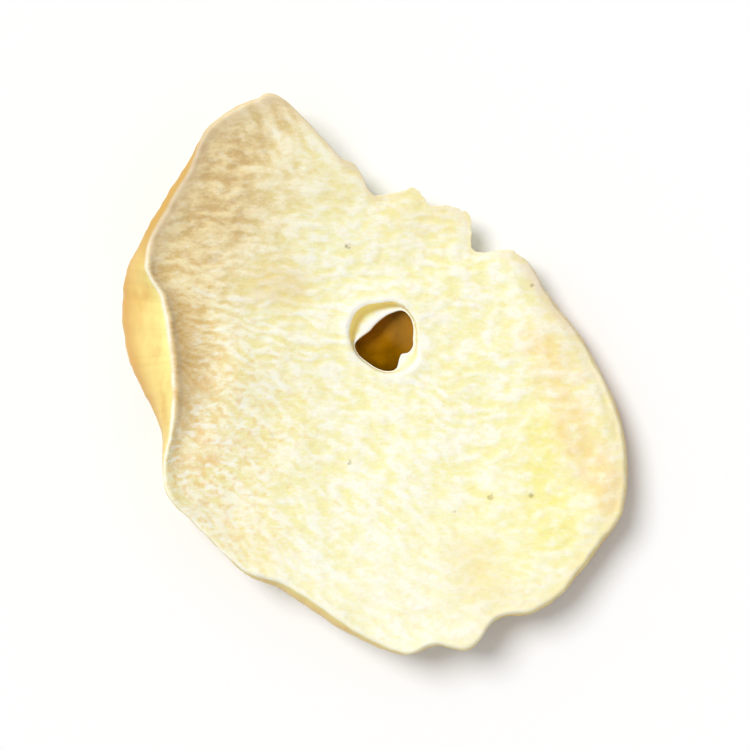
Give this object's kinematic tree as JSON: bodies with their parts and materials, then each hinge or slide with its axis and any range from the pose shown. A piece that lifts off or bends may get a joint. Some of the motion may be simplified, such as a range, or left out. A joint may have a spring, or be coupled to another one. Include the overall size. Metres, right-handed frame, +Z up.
{
  "type": "dried shallot slice",
  "caption": "Cupped slice of dried Persian shallot, cut across the bulb, with a torn edge, skin round the rim and an uneven hole near its middle.",
  "frame": {"origin": "under the middle of the slice, on the surface that its belly lies on", "axes": "+Z up through the slice, +Y along its longest way, towards the whole tip beside the torn edge"},
  "size_m": [0.0312, 0.0343, 0.0045],
  "materials": {
    "dried_flesh": "matte"
  },
  "bodies": {
    "root": {"shallot_slice": "dried_flesh"}
  },
  "joints": []
}
